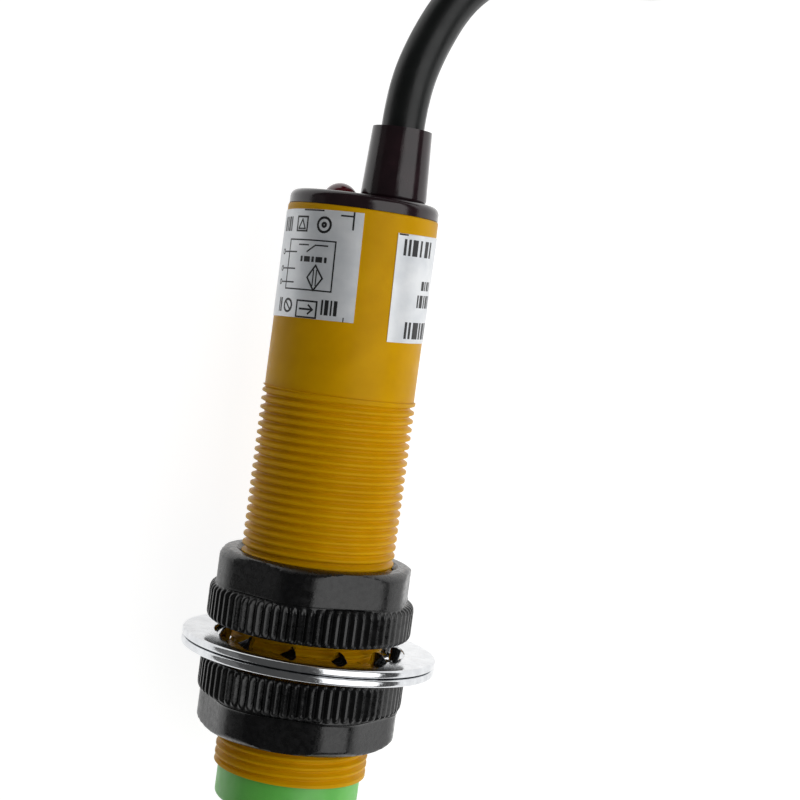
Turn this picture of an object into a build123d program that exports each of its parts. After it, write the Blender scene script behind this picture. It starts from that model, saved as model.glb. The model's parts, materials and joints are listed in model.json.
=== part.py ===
"""M18 x 1 plastic-barrel photoelectric sensor with its two nuts, two toothed washers and cable.

The sensor lies on a surface at z = 0 with its axis along Y: the sensing face looks along -Y and
the cable leaves along +Y. The origin is on the surface, midway along the sensor. Millimetres.
"""

import math
import os

from build123d import *

os.makedirs("parts", exist_ok=True)

# ---- driving dimensions ---------------------------------------------------------------------
# Lengths along the sensor, from the sensing face to the tip of the cable boot.
head_length = 4.05
thread_length = 44.6
smooth_length = 21.25
cap_thickness = 1.65
boot_length = 8.45

# Barrel, M18 x 1.
thread_radius = 9.0
thread_root_radius = 8.45
thread_pitch = 1.0
crest_width = 0.3
root_width = 0.18
smooth_radius = 8.8
bore_radius = 7.7

# Nuts: a hexagon with rounded corners on a knurled flange.
nut_across_flats = 22.0
nut_corner_radius = 11.7
nut_flange_radius = 12.1
nut_hex_height = 4.05
nut_flange_height = 4.35
nut_bore_radius = thread_radius + 0.08
nut_rib_count = 72
nut_groove_depth = 0.45
nut_edge_chamfer = 0.5
rear_nut_flat_angle = 23.0
front_nut_flat_angle = -5.3

# Toothed washers, loose between the nuts, so they sit a little askew.
washer_radius = 15.05
washer_hole_radius = 11.3
washer_thickness = 0.9
washer_tooth_tip_radius = 9.65
washer_tooth_count = 12
washer_tooth_width = 1.7
washer_tooth_thickness = 0.5
washer_tooth_root = 0.4
washer_tooth_twist = 18.0
washer_tooth_angle = 22.5
washer_gap = 0.1
washer_tilt = 1.9
washer_yaw = 2.3
washer_offset = 0.4

# Cable and its boot, set to one side of the axis.
cable_diameter = 5.0
cable_offset = 3.2
boot_base_radius = 3.9
boot_tip_radius = 3.48
boot_neck_radius = 3.05
boot_flange_radius = 3.65
cable_clearance = 0.02
cord_start_inside_boot = 1.0

# Stations along Y.
front_y = -40.0
thread_front_y = front_y + head_length
thread_rear_y = thread_front_y + thread_length
barrel_rear_y = thread_rear_y + smooth_length
cap_rear_y = barrel_rear_y + cap_thickness
boot_tip_y = cap_rear_y + boot_length
rear_nut_face_y = -19.15
front_nut_face_y = -23.4
washer_centre_y = -21.75

stack_half = washer_thickness + washer_gap / 2
tilt_radians = math.radians(washer_tilt)
axis_height = washer_radius * math.cos(tilt_radians) + stack_half * math.sin(tilt_radians)

sensor_axis = Axis((0, 0, axis_height), (0, 1, 0))
# Profile plane: local x runs along +Y of the row, local y is the distance from the sensor's axis.
profile_plane = Plane(origin=(0, 0, axis_height), x_dir=(0, 1, 0), z_dir=(1, 0, 0))


def section_at(y, x=0.0, z=0.0):
    """Plane across the sensor at station y, centred x, z from its axis; it faces forward (-Y)."""
    return Plane(origin=(x, y, axis_height + z), x_dir=(1, 0, 0), z_dir=(0, -1, 0))


def save(part, name):
    """Label a finished piece and write it to its own STEP file."""
    part.label = name
    export_step(part, f"parts/{name}.step")


# ---- barrel -----------------------------------------------------------------------------------
crest_count = int(thread_length / thread_pitch)
flank_width = (thread_pitch - crest_width - root_width) / 2
groove_width = thread_pitch - crest_width
thread_outline = [(thread_front_y, thread_radius)]
for crest in range(crest_count):
    groove_start = thread_front_y + crest * thread_pitch + crest_width
    thread_outline += [
        (groove_start, thread_radius),
        (groove_start + flank_width, thread_root_radius),
        (groove_start + flank_width + root_width, thread_root_radius),
        (groove_start + groove_width, thread_radius),
    ]

with BuildPart() as barrel:
    with BuildSketch(profile_plane):
        with BuildLine():
            Polyline(
                (thread_front_y, bore_radius),
                *thread_outline,
                (thread_rear_y, thread_radius),
                (thread_rear_y, smooth_radius),
                (barrel_rear_y, smooth_radius),
                (barrel_rear_y, bore_radius),
                close=True,
            )
        make_face()
    revolve(axis=sensor_axis)
save(barrel.part, "barrel")

# ---- rating label: a thin foil wrapped most of the way round the smooth barrel -------------------
label_thickness = 0.08
label_front_y = 16.2
label_height = 12.3
label_gap_start = 2.1
label_gap_angle = 27.0

with BuildPart() as wrap_label:
    with BuildSketch(profile_plane):
        with Locations((label_front_y + label_height / 2, smooth_radius + label_thickness / 2)):
            Rectangle(label_height, label_thickness)
    revolve(axis=sensor_axis, revolution_arc=360 - label_gap_angle)
save(
    wrap_label.part.rotate(sensor_axis, label_gap_start + label_gap_angle),
    "wrap_label",
)

# ---- rear cap, with holes for the cable boot, the indicator and the trimmer --------------------
cap_radius = 8.7
cap_edge_fillet = 0.9
cap_spigot_radius = 7.66
cap_spigot_hole_radius = 6.9
cap_spigot_length = 3.5
indicator_x = -2.9
indicator_dome_radius = 2.0
indicator_dome_height = 1.4
indicator_stem_radius = 1.5
trimmer_x = -0.9
trimmer_z = -4.5
trimmer_head_radius = 1.45
trimmer_stem_radius = 1.2
hole_clearance = 0.06
trimmer_hole_radius = 1.75

with BuildPart() as rear_cap:
    with BuildSketch(section_at(cap_rear_y)):
        Circle(cap_radius)
    extrude(amount=cap_thickness)
    fillet(rear_cap.edges().group_by(Axis.Y)[-1], cap_edge_fillet)
    with BuildSketch(section_at(barrel_rear_y)):
        Circle(cap_spigot_radius)
        Circle(cap_spigot_hole_radius, mode=Mode.SUBTRACT)
    extrude(amount=cap_spigot_length)
    with BuildSketch(section_at(cap_rear_y)):
        with Locations((cable_offset, 0)):
            Circle(boot_neck_radius + hole_clearance)
        with Locations((indicator_x, 0)):
            Circle(indicator_stem_radius + hole_clearance)
        with Locations((trimmer_x, trimmer_z)):
            Circle(trimmer_hole_radius)
    extrude(amount=cap_thickness, mode=Mode.SUBTRACT)
save(rear_cap.part, "rear_cap")

# ---- cable boot: a tapered sleeve whose neck passes through the cap to a flange inside ----------
boot_flange_thickness = 1.2
boot_tip_fillet = 0.6
boot_bore_radius = cable_diameter / 2 + cable_clearance
boot_neck_front_y = barrel_rear_y
boot_front_y = boot_neck_front_y - boot_flange_thickness
boot_profile_plane = Plane(
    origin=(cable_offset, 0, axis_height), x_dir=(0, 1, 0), z_dir=(1, 0, 0)
)
boot_axis = Axis((cable_offset, 0, axis_height), (0, 1, 0))

with BuildPart() as cable_boot:
    with BuildSketch(boot_profile_plane) as boot_outline:
        with BuildLine():
            Polyline(
                (boot_front_y, boot_bore_radius),
                (boot_front_y, boot_flange_radius),
                (boot_neck_front_y, boot_flange_radius),
                (boot_neck_front_y, boot_neck_radius),
                (cap_rear_y, boot_neck_radius),
                (cap_rear_y, boot_base_radius),
                (boot_tip_y, boot_tip_radius),
                (boot_tip_y, boot_bore_radius),
                close=True,
            )
        make_face()
        tip_corner = boot_outline.vertices().group_by(Axis.Y)[-1].sort_by(Axis.Z)[-1]
        fillet(tip_corner, boot_tip_fillet)
    revolve(axis=boot_axis)
save(cable_boot.part, "cable_boot")

# ---- indicator: a red dome on a light pipe, lit by a 3 mm lamp on the board ----------------------
indicator_pipe_length = 4.6
dome_sphere_radius = (indicator_dome_radius**2 + indicator_dome_height**2) / (
    2 * indicator_dome_height
)

with BuildPart() as indicator_dome:
    with BuildSketch(section_at(cap_rear_y, indicator_x)):
        Circle(indicator_stem_radius)
    extrude(amount=indicator_pipe_length)
    with BuildSketch(
        Plane(origin=(indicator_x, 0, axis_height), x_dir=(0, 1, 0), z_dir=(1, 0, 0))
    ):
        with BuildLine():
            dome_top = (cap_rear_y + indicator_dome_height, 0)
            RadiusArc((cap_rear_y, indicator_dome_radius), dome_top, dome_sphere_radius)
            Line(dome_top, (cap_rear_y, 0))
            Line((cap_rear_y, 0), (cap_rear_y, indicator_dome_radius))
        make_face()
    revolve(axis=Axis((indicator_x, 0, axis_height), (0, 1, 0)))
save(indicator_dome.part, "indicator_dome")

# ---- nuts ---------------------------------------------------------------------------------------
nut_height = nut_hex_height + nut_flange_height
groove_mouth_height = 0.3
groove_half_width = 0.5


def nut_plane(y, toward, flat_angle):
    """Plane across a nut, facing its hexagon (toward is -1 or 1 along Y), x through a flat."""
    turn = math.radians(flat_angle)
    return Plane(
        origin=(0, y, axis_height),
        x_dir=(math.sin(turn), 0, math.cos(turn)),
        z_dir=(0, toward, 0),
    )


def make_nut(face_y, toward, flat_angle):
    """One nut: knurled flange on the bearing face, rounded hexagon beyond it, plain bore."""
    flange_plane = nut_plane(face_y, toward, flat_angle)
    hex_plane = nut_plane(face_y + toward * nut_flange_height, toward, flat_angle)
    with BuildPart() as nut:
        with BuildSketch(flange_plane):
            Circle(nut_flange_radius)
        extrude(amount=nut_flange_height)
        chamfer(nut.edges().group_by(Axis.Y)[0], nut_edge_chamfer)
        chamfer(nut.edges().group_by(Axis.Y)[-1], nut_edge_chamfer)
        with BuildSketch(flange_plane):
            with PolarLocations(nut_flange_radius, nut_rib_count):
                Polygon(
                    (-nut_groove_depth, 0),
                    (groove_mouth_height, -groove_half_width),
                    (groove_mouth_height, groove_half_width),
                    align=None,
                )
        extrude(amount=nut_flange_height, mode=Mode.SUBTRACT)
        with BuildSketch(hex_plane):
            RegularPolygon(nut_across_flats / 2, 6, major_radius=False, rotation=30)
            Circle(nut_corner_radius, mode=Mode.INTERSECT)
        extrude(amount=nut_hex_height)
        with BuildSketch(flange_plane):
            Circle(nut_bore_radius)
        extrude(amount=nut_height, mode=Mode.SUBTRACT)
        bore_edges = nut.edges().filter_by(GeomType.CIRCLE).group_by(SortBy.RADIUS)[0]
        chamfer(bore_edges, nut_edge_chamfer)
    return nut.part


save(make_nut(rear_nut_face_y, 1, rear_nut_flat_angle), "rear_nut")
save(make_nut(front_nut_face_y, -1, front_nut_flat_angle), "front_nut")


# ---- toothed washers ------------------------------------------------------------------------------
tooth_length = washer_hole_radius - washer_tooth_tip_radius + washer_tooth_root


def make_washer(stack_offset):
    """An internal-tooth lock washer, its centre stack_offset forward of the stack's centre."""
    flat_plane = Plane.XY.offset(-washer_thickness / 2)
    with BuildPart() as washer:
        with BuildSketch(flat_plane):
            Circle(washer_radius)
            Circle(washer_hole_radius, mode=Mode.SUBTRACT)
        extrude(amount=washer_thickness)
        rim_edges = washer.edges().filter_by(GeomType.CIRCLE).group_by(SortBy.RADIUS)[-1]
        chamfer(rim_edges, washer_thickness / 4)
        with PolarLocations(
            washer_tooth_tip_radius + tooth_length / 2,
            washer_tooth_count,
            start_angle=90 - washer_tooth_angle,
        ):
            Box(
                tooth_length,
                washer_tooth_width,
                washer_tooth_thickness,
                rotation=(washer_tooth_twist, 0, 0),
            )
    stack_plane = section_at(washer_centre_y, washer_offset).rotated(
        (-washer_tilt, washer_yaw, 0)
    )
    return stack_plane.offset(stack_offset).location * washer.part


save(make_washer(-(washer_thickness + washer_gap) / 2), "rear_toothed_washer")
save(make_washer((washer_thickness + washer_gap) / 2), "front_toothed_washer")

# ---- sensing head: a cup whose spigot plugs the barrel, with two lens holes ------------------------
head_radius = thread_root_radius
head_wall = 1.3
head_hole_radius = 6.2
head_spigot_radius = 7.66
head_spigot_length = 7.0
head_edge_fillet = 0.5
seal_groove_radius = 6.75
seal_groove_width = 1.1
seal_groove_front_y = thread_front_y + 0.9
seal_section_radius = 0.45
seal_ring_radius = 7.22
lens_offset = 3.05
lens_radius = 2.65
lens_seat_radius = 3.0
lens_flange_thickness = 0.8

with BuildPart() as sensing_head:
    with BuildSketch(section_at(thread_front_y)):
        Circle(head_radius)
    extrude(amount=head_length)
    fillet(sensing_head.edges().group_by(Axis.Y)[0], head_edge_fillet)
    with BuildSketch(section_at(thread_front_y + head_spigot_length)):
        Circle(head_spigot_radius)
    extrude(amount=head_spigot_length)
    with BuildSketch(section_at(thread_front_y + head_spigot_length)):
        Circle(head_hole_radius)
    extrude(amount=head_spigot_length + head_length - head_wall, mode=Mode.SUBTRACT)
    with BuildSketch(section_at(seal_groove_front_y)):
        Circle(head_spigot_radius)
        Circle(seal_groove_radius, mode=Mode.SUBTRACT)
    extrude(amount=-seal_groove_width, mode=Mode.SUBTRACT)
    with BuildSketch(section_at(front_y)):
        with Locations((-lens_offset, 0), (lens_offset, 0)):
            Circle(lens_radius)
    extrude(amount=-head_wall, mode=Mode.SUBTRACT)
save(sensing_head.part, "sensing_head")

# ---- lenses: a flange behind the head's wall and a dome that fills its hole --------------------------
lens_dome_recess = 0.15
lens_shoulder = 0.35
lens_clearance = 0.03
lens_front_y = front_y + lens_dome_recess
lens_wall_y = front_y + head_wall
lens_back_y = lens_wall_y + lens_flange_thickness


def make_lens(x):
    """A plano-convex lens, turned about its own axis at x."""
    edge = lens_radius - lens_clearance
    with BuildPart() as lens:
        with BuildSketch(
            Plane(origin=(x, 0, axis_height), x_dir=(0, 1, 0), z_dir=(1, 0, 0))
        ):
            with BuildLine():
                rim = (lens_wall_y - lens_shoulder, edge)
                apex = (lens_front_y, 0)
                Polyline(
                    apex,
                    (lens_back_y, 0),
                    (lens_back_y, lens_seat_radius),
                    (lens_wall_y, lens_seat_radius),
                    (lens_wall_y, edge),
                    rim,
                )
                sag = rim[0] - apex[0]
                RadiusArc(rim, apex, -(edge**2 + sag**2) / (2 * sag))
            make_face()
        revolve(axis=Axis((x, 0, axis_height), (0, 1, 0)))
    return lens.part


save(make_lens(-lens_offset), "emitter_lens")
save(make_lens(lens_offset), "receiver_lens")

# ---- seal ring in its groove at the root of the head's spigot ------------------------------------------
with BuildPart() as seal_ring:
    with BuildSketch(profile_plane):
        with Locations((seal_groove_front_y + seal_groove_width / 2, seal_ring_radius)):
            Circle(seal_section_radius)
    revolve(axis=sensor_axis)
save(seal_ring.part, "seal_ring")

# ---- optics holder: a black block with a light tunnel for each diode ------------------------------------
holder_radius = 6.15
holder_front_y = lens_back_y
holder_length = 8.6
holder_rear_y = holder_front_y + holder_length
diode_radius = 2.5
diode_tunnel_radius = 2.56
diode_flange_radius = 2.9
diode_flange_thickness = 1.0
diode_body_length = 6.2

with BuildPart() as optics_holder:
    with BuildSketch(section_at(holder_rear_y)):
        Circle(holder_radius)
        with Locations((-lens_offset, 0), (lens_offset, 0)):
            Circle(diode_tunnel_radius, mode=Mode.SUBTRACT)
    extrude(amount=holder_length)
save(optics_holder.part, "optics_holder")


def make_diode(x, flange_y, radius, flange_radius, flange_thickness, body_length, facing):
    """A domed lamp or photodiode: facing is -1 toward the sensing face, 1 toward the cap."""
    tip = flange_y + facing * (body_length + radius)
    shoulder = flange_y + facing * body_length
    back = flange_y - facing * flange_thickness
    with BuildPart() as diode:
        with BuildSketch(
            Plane(origin=(x, 0, axis_height), x_dir=(0, 1, 0), z_dir=(1, 0, 0))
        ):
            with BuildLine():
                Polyline(
                    (tip, 0),
                    (back, 0),
                    (back, flange_radius),
                    (flange_y, flange_radius),
                    (flange_y, radius),
                    (shoulder, radius),
                )
                RadiusArc((shoulder, radius), (tip, 0), facing * radius)
            make_face()
        revolve(axis=Axis((x, 0, axis_height), (0, 1, 0)))
    return diode.part


for lens_side, diode_name in ((-1, "infrared_emitter"), (1, "photodiode")):
    save(
        make_diode(
            lens_side * lens_offset,
            holder_rear_y,
            diode_radius,
            diode_flange_radius,
            diode_flange_thickness,
            diode_body_length - diode_radius,
            -1,
        ),
        diode_name,
    )

# ---- circuit board, held between the diodes' legs ------------------------------------------------------
board_thickness = 1.6
board_width = 13.4
board_front_y = -24.0
board_rear_y = 22.0
board_top = board_thickness / 2
leg_width = 0.5
leg_length_on_board = 3.0

with BuildPart() as circuit_board:
    with BuildSketch(Plane.XY.offset(axis_height - board_top)):
        with Locations((0, (board_front_y + board_rear_y) / 2)):
            Rectangle(board_width, board_rear_y - board_front_y)
    extrude(amount=board_thickness)
save(circuit_board.part, "circuit_board")


def make_legs(centres, start_y, end_y):
    """Square wire legs above and below the board at each x in centres, as one group."""
    length = end_y - start_y
    with BuildPart() as legs:
        for x in centres:
            for side in (-1, 1):
                height = axis_height + side * (board_top + leg_width / 2)
                with Locations((x, start_y + length / 2, height)):
                    Box(leg_width, length, leg_width)
    return legs.part


diode_back_y = holder_rear_y + diode_flange_thickness
save(
    make_legs(
        (-lens_offset, lens_offset), diode_back_y, board_front_y + leg_length_on_board
    ),
    "diode_legs",
)

# ---- indicator lamp behind the dome's light pipe ---------------------------------------------------------
lamp_radius = 1.5
lamp_flange_radius = 1.7
lamp_flange_thickness = 0.8
lamp_flange_y = board_rear_y + 1.0
lamp_body_length = 1.7

save(
    make_diode(
        indicator_x,
        lamp_flange_y,
        lamp_radius,
        lamp_flange_radius,
        lamp_flange_thickness,
        lamp_body_length,
        1,
    ),
    "indicator_lamp",
)
save(
    make_legs(
        (indicator_x,),
        board_rear_y - leg_length_on_board,
        lamp_flange_y - lamp_flange_thickness,
    ),
    "lamp_legs",
)

# ---- sensitivity trimmer: a housing under the board and a slotted rotor out to the cap -------------------
trimmer_width = 3.2
trimmer_length = 4.5
trimmer_bottom = 6.2
trimmer_fit = 0.05
slot_width = 0.5
slot_depth = 0.6
slot_angle = 35.0
rotor_recess = 0.5
rotor_head_length = 1.6
rotor_depth_in_housing = 3.2
trimmer_rear_y = board_rear_y
trimmer_height = trimmer_bottom - board_top
rotor_rear_y = cap_rear_y - rotor_recess
rotor_front_y = trimmer_rear_y - rotor_depth_in_housing

with BuildPart() as trimmer_housing:
    with BuildSketch(
        section_at(trimmer_rear_y, trimmer_x, -(board_top + trimmer_height / 2))
    ):
        Rectangle(trimmer_width, trimmer_height)
    extrude(amount=trimmer_length)
    with BuildSketch(section_at(trimmer_rear_y, trimmer_x, trimmer_z)):
        Circle(trimmer_stem_radius + trimmer_fit)
    extrude(amount=rotor_depth_in_housing + trimmer_fit, mode=Mode.SUBTRACT)
save(trimmer_housing.part, "trimmer_housing")

with BuildPart() as trimmer_rotor:
    with BuildSketch(section_at(rotor_rear_y, trimmer_x, trimmer_z)):
        Circle(trimmer_stem_radius)
    extrude(amount=rotor_rear_y - rotor_front_y)
    with BuildSketch(section_at(rotor_rear_y, trimmer_x, trimmer_z)):
        Circle(trimmer_head_radius)
    extrude(amount=rotor_head_length)
    with BuildSketch(section_at(rotor_rear_y, trimmer_x, trimmer_z)):
        Rectangle(2 * trimmer_head_radius + slot_width, slot_width, rotation=slot_angle)
    extrude(amount=slot_depth, mode=Mode.SUBTRACT)
save(trimmer_rotor.part, "trimmer_rotor")


# ---- components on the board -------------------------------------------------------------------------------
def make_chips(places, size):
    """Rectangular components of one size (x, y, height), centred at each (x, y) on the board's top."""
    with BuildPart() as chips:
        for x, y in places:
            with Locations((x, y, axis_height + board_top + size[2] / 2)):
                Box(*size)
    return chips.part


amplifier_place = (-1.5, -8.0)
pin_pitch = 1.27
pins_per_side = 4
pin_row_offset = 2.5
pin_places = [
    (
        amplifier_place[0] + side * pin_row_offset,
        amplifier_place[1] + (row - (pins_per_side - 1) / 2) * pin_pitch,
    )
    for side in (-1, 1)
    for row in range(pins_per_side)
]
chip_row_start = -18.0
chip_row_pitch = 3.0
resistor_places = [(4.6, chip_row_start + chip_row_pitch * row) for row in range(5)]
resistor_places += [(-4.8, chip_row_start + chip_row_pitch * row) for row in range(2)]
capacitor_places = [(0.0, chip_row_start + chip_row_pitch * row) for row in range(2)]
capacitor_places += [(-4.8, -3.0), (-3.0, 9.5), (-3.0, 12.0)]

# Each group: its name, the places of its pieces on the board, and their size.
board_components = (
    ("amplifier_chip", [amplifier_place], (3.9, 4.9, 1.5)),
    ("amplifier_pins", pin_places, (1.1, 0.4, 0.25)),
    ("output_transistor", [(2.6, 3.0)], (4.5, 2.5, 1.5)),
    ("voltage_regulator", [(-3.0, 4.0)], (2.5, 4.5, 1.5)),
    ("protection_diode", [(3.4, 10.0)], (2.6, 4.3, 2.1)),
    ("chip_resistors", resistor_places, (2.0, 1.25, 0.5)),
    ("chip_capacitors", capacitor_places, (2.0, 1.25, 0.9)),
)
for component_name, places, size in board_components:
    save(make_chips(places, size), component_name)

smoothing_place = (1.5, -2.0)
smoothing_radius = 2.5
smoothing_height = 5.0
smoothing_fillet = 0.3
with BuildPart() as smoothing_capacitor:
    with BuildSketch(Plane.XY.offset(axis_height - board_top)):
        with Locations(smoothing_place):
            Circle(smoothing_radius)
    extrude(amount=-smoothing_height)
    fillet(smoothing_capacitor.edges().group_by(Axis.Z)[0], smoothing_fillet)
save(smoothing_capacitor.part, "smoothing_capacitor")


# ---- cable ---------------------------------------------------------------------------------------------------
def run_length(start, end):
    """Length of the straight run between two route points."""
    return (Vector(*end) - Vector(*start)).length


def turn_degrees(before, corner, after):
    """How far the route turns at a corner."""
    first = Vector(*corner) - Vector(*before)
    second = Vector(*after) - Vector(*corner)
    return first.get_angle(second)


def corner_radii(points):
    """The bend radius at each inner point: as large as its two runs allow."""
    radii = []
    for before, corner, after in zip(points, points[1:], points[2:], strict=False):
        shorter = min(run_length(before, corner), run_length(corner, after))
        half_turn = math.radians(turn_degrees(before, corner, after)) / 2
        radii.append(0.45 * shorter / math.tan(half_turn))
    return radii


def make_tube(points, diameter):
    """A round tube along straight runs joined by tangent arcs."""
    with BuildPart() as tube:
        with BuildLine():
            path = FilletPolyline(*points, radius=corner_radii(points))
        with BuildSketch(Plane(origin=path @ 0, z_dir=path % 0)):
            Circle(diameter / 2)
        sweep()
    expected = math.pi * diameter**2 / 4 * path.length
    print(
        "tube length",
        round(path.length, 1),
        "radii",
        [round(radius, 1) for radius in corner_radii(points)],
        "volume share",
        round(tube.part.volume / expected, 4),
    )
    return tube.part


jacket_inner_y = 26.5
cord_start_y = boot_tip_y - cord_start_inside_boot
with BuildPart() as cable_inlet:
    with BuildSketch(section_at(cord_start_y, cable_offset)):
        Circle(cable_diameter / 2)
    extrude(amount=cord_start_y - jacket_inner_y)
save(cable_inlet.part, "cable_inlet")

# Free cable: out of the boot, over in an arch, down to the surface and in to the coil.
coil_centre = (21.8, 96.9)
outer_turn_radius = 27.5
inner_turn_radius = outer_turn_radius - cable_diameter
tie_thickness = 0.4
coil_base_height = cable_diameter / 2 + tie_thickness
cable_route = [
    (cable_offset, cord_start_y, axis_height),
    (cable_offset, 43.4, axis_height),
    (4.4, 49.3, 14.1),
    (7.6, 56.9, 11.6),
    (13.0, 62.1, 8.4),
    (18.9, 64.2, 5.6),
    (25.1, 63.7, 3.1),
    (33.1, 63.8, 2.5),
    (40.0, 67.2, 2.5),
    (46.5, 75.2, 2.9),
    (47.7, 85.2, 2.9),
]
save(make_tube(cable_route, cable_diameter), "cable")

coil_layers = 3
coil_fillet = 2.3
coil_clearance = 0.1
coil_width = 2 * cable_diameter + 2 * coil_clearance
coil_height = coil_layers * cable_diameter
coil_mean_radius = (outer_turn_radius + inner_turn_radius) / 2
coil_section_plane = Plane(
    origin=(*coil_centre, tie_thickness + coil_height / 2), x_dir=(1, 0, 0), z_dir=(0, -1, 0)
)

with BuildPart() as cable_coil:
    with BuildSketch(coil_section_plane):
        with Locations((coil_mean_radius, 0)):
            RectangleRounded(coil_width, coil_height, coil_fillet)
    revolve(axis=Axis((*coil_centre, 0), (0, 0, 1)))
save(cable_coil.part, "cable_coil")


def coil_point(radius, angle, height):
    """A point at a polar place about the coil's centre."""
    turn = math.radians(angle)
    return (
        coil_centre[0] + radius * math.cos(turn),
        coil_centre[1] + radius * math.sin(turn),
        height,
    )


# The cable's far end leaves the coil inward and lies in the middle of it.
jacket_end_angle = 199.0
tail_route = [
    coil_point(inner_turn_radius, 140.0, coil_base_height),
    coil_point(21.0, 157.0, 2.7),
    coil_point(19.1, 178.0, 2.5),
    coil_point(17.3, jacket_end_angle, 2.5),
]
save(make_tube(tail_route, cable_diameter), "cable_tail")

tie_angle = 20.0
tie_width = 6.0
tie_play = 0.2
tie_plane = Plane(
    origin=coil_point(coil_mean_radius, tie_angle, tie_thickness + coil_height / 2),
    x_dir=(math.cos(math.radians(tie_angle)), math.sin(math.radians(tie_angle)), 0),
    z_dir=(-math.sin(math.radians(tie_angle)), math.cos(math.radians(tie_angle)), 0),
)
with BuildPart() as coil_tie:
    with BuildSketch(tie_plane):
        RectangleRounded(
            coil_width + 2 * (tie_thickness + tie_play),
            coil_height + 2 * tie_thickness,
            coil_fillet + tie_thickness,
        )
        RectangleRounded(
            coil_width + 2 * tie_play, coil_height, coil_fillet, mode=Mode.SUBTRACT
        )
    extrude(amount=tie_width / 2, both=True)
save(coil_tie.part, "coil_tie")

# ---- wires: three insulated cores at each end of the jacket, tinned at the far end --------------------------
core_diameter = 1.3
core_spread = 1.1
core_rise = 0.02
core_straight = 1.3
board_edge_gap = 0.6
tip_diameter = 0.8
tip_length = 6.0
core_names = ("brown", "blue", "black")
pad_places = (1.4, 3.2, 5.0)
pad_height = axis_height + board_top + core_diameter / 2
core_angles = (210.0, 90.0, 330.0)
pad_front_y = 17.5

for name, pad_x, angle in zip(core_names, pad_places, core_angles, strict=True):
    core_x = cable_offset + core_spread * math.cos(math.radians(angle))
    core_z = axis_height + core_spread * math.sin(math.radians(angle))
    route = [
        (core_x, jacket_inner_y, core_z),
        (core_x, jacket_inner_y - core_straight, core_z + core_rise),
        (pad_x, board_rear_y + board_edge_gap, pad_height + core_rise),
        (pad_x, pad_front_y, pad_height),
    ]
    save(make_tube(route, core_diameter), f"{name}_core")

lead_height = core_diameter / 2
lead_spacing = 1.5
lead_straight = 2.4
lead_fall = 5.2
lead_bends = (
    ((15.1, 228.5), (13.1, 254.5), (11.5, 285.0), (11.6, 316.0), (13.0, 340.0)),
    ((16.8, 228.0), (15.8, 252.0), (15.2, 276.0), (15.0, 300.0), (15.3, 320.0)),
    ((18.4, 227.0), (17.9, 249.0), (17.6, 270.0), (17.3, 291.0), (17.0, 308.0)),
)
jacket_end = Vector(*tail_route[-1])
tail_direction = (jacket_end - Vector(*tail_route[-2])).normalized()
tail_side = Vector(-tail_direction.Y, tail_direction.X, 0)
lead_ends = []

for number, (name, bends) in enumerate(zip(core_names, lead_bends, strict=True)):
    start = jacket_end + tail_side * lead_spacing * (1 - number)
    straight_end = start + tail_direction * lead_straight
    fall = start + tail_direction * lead_fall
    route = [
        (start.X, start.Y, start.Z),
        (straight_end.X, straight_end.Y, start.Z),
        (fall.X, fall.Y, (start.Z + lead_height) / 2),
        *(coil_point(radius, angle, lead_height) for radius, angle in bends),
    ]
    lead_ends.append((route[-2], route[-1]))
    save(make_tube(route, core_diameter), f"{name}_lead")

with BuildPart() as tinned_tips:
    for before, end in lead_ends:
        with BuildSketch(Plane(origin=end, z_dir=Vector(*end) - Vector(*before))):
            Circle(tip_diameter / 2)
        extrude(amount=tip_length)
save(tinned_tips.part, "tinned_tips")
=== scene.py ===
"""Looks of the M18 photoelectric sensor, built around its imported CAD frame.

Sizes are in millimetres unless a name ends in _m; vertices are scaled to metres when a piece is made.
"""

import json
import math

import bmesh
import bpy
from mathutils import Matrix, Vector


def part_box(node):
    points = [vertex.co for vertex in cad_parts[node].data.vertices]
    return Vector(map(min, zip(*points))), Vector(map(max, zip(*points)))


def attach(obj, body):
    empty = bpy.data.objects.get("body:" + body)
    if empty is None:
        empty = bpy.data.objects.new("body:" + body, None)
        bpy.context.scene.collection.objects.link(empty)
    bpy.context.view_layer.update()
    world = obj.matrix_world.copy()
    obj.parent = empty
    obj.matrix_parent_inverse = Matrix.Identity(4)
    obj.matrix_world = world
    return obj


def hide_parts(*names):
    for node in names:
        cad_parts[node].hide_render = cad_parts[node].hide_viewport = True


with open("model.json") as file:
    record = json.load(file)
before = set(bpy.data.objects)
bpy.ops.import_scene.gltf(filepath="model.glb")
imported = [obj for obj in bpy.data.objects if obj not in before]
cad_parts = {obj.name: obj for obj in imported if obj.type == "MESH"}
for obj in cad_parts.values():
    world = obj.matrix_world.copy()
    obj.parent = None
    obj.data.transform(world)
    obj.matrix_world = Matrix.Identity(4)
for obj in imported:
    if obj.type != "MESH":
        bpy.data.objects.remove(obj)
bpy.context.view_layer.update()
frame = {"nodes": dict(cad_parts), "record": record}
nodes = frame["nodes"]
scene = bpy.context.scene
MM = 0.001


# ---- places read from the frame ------------------------------------------------------------------
def span(node, axis):
    """Lowest and highest coordinate of a CAD node along one axis (0, 1, 2), in millimetres."""
    low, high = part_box(node)
    return low[axis] / MM, high[axis] / MM


barrel_front, barrel_rear = span("barrel", 1)
thread_radius = (span("barrel", 0)[1] - span("barrel", 0)[0]) / 2
axis_height = sum(span("barrel", 2)) / 2
rear_nut_face = span("rear_nut", 1)[0]
front_nut_face = span("front_nut", 1)[1]
label_radius = span("wrap_label", 0)[1]
label_thickness = 0.08
smooth_radius = label_radius - label_thickness
thread_length = 44.6
thread_rear = barrel_front + thread_length
pitch = 1.0

# ---- camera: above the sensor, turned so that the sensor leans right -----------------------------
camera_height = 191.0
camera_lean = math.radians(7.75)
aim_x, aim_y = 7.15, 8.78
camera_y = 19.05
camera_lens = 73.35

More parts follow.
